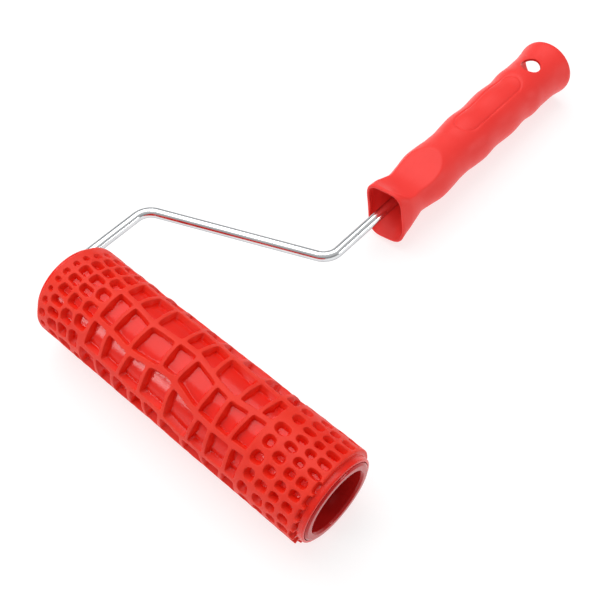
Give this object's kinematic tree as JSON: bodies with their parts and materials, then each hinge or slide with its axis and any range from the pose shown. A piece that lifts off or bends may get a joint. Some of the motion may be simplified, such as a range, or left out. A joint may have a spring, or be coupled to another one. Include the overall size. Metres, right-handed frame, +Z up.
{
  "type": "textured pattern roller",
  "caption": "Hand roller with a spinning embossed rubber sleeve on a bent wire frame and a hollow moulded handle, for printing a hide pattern in paint or plaster.",
  "frame": {"origin": "on the ground, under the middle of the tool's bounding box", "axes": "+X along the axle from the frame's arm towards the open end of the core, +Y from the roller to the butt of the handle, +Z up; roller and butt rest on z = 0"},
  "size_m": [0.201, 0.346, 0.0541],
  "materials": {
    "red_rubber": "satin",
    "dark_red_plastic": "gloss",
    "grip_red_plastic": "satin",
    "zinc_plated_steel": "bright zinc",
    "spring_steel": "satin",
    "plug_plastic": "matt",
    "natural_nylon": "matt"
  },
  "bodies": {
    "frame": {"frame_wire": "zinc_plated_steel", "handle_grip": "grip_red_plastic", "far_stop_clip": "spring_steel", "far_thrust_washer": "natural_nylon", "near_thrust_washer": "natural_nylon", "axle_end_cap": "spring_steel"},
    "roller": {"pattern_sleeve": "red_rubber", "core_tube": "dark_red_plastic", "near_end_plug": "plug_plastic", "far_end_plug": "plug_plastic", "near_bush": "natural_nylon", "far_bush": "natural_nylon"}
  },
  "joints": [
    {"name": "roller_spin", "type": "hinge", "parent": "frame", "child": "roller", "pos_m": [0.00647, -0.14578, 0.02705], "axis": [1, 0, 0], "continuous": true}
  ]
}
